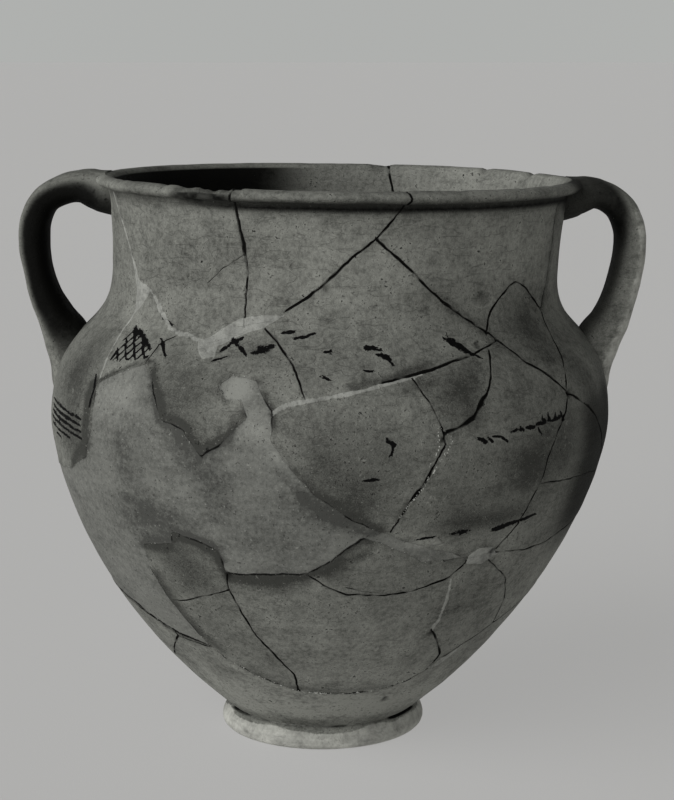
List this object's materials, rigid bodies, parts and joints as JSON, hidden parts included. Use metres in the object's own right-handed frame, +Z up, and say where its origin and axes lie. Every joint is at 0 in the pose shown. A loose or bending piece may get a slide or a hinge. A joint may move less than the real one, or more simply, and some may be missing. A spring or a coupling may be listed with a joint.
{
  "type": "greek krater",
  "caption": "Ancient clay mixing bowl with ring foot, wide neck, rolled lip and upright strap handles, broken, mended and filled with plaster.",
  "frame": {"origin": "on the standing surface, under the middle of the whole width and depth, handles included", "axes": "+Z up through the mouth, +X to the right through the right handle, the pictured front faces -Y"},
  "size_m": [0.3998, 0.359, 0.3637],
  "materials": {
    "clay": "matt fired clay with worn slip, traces of dark paint, glued joints and chips",
    "plaster": "matt restoration plaster, smoothed by hand and toned with thin washes"
  },
  "bodies": {
    "root": {"vessel": "clay", "plaster_fill": "plaster"}
  },
  "joints": []
}
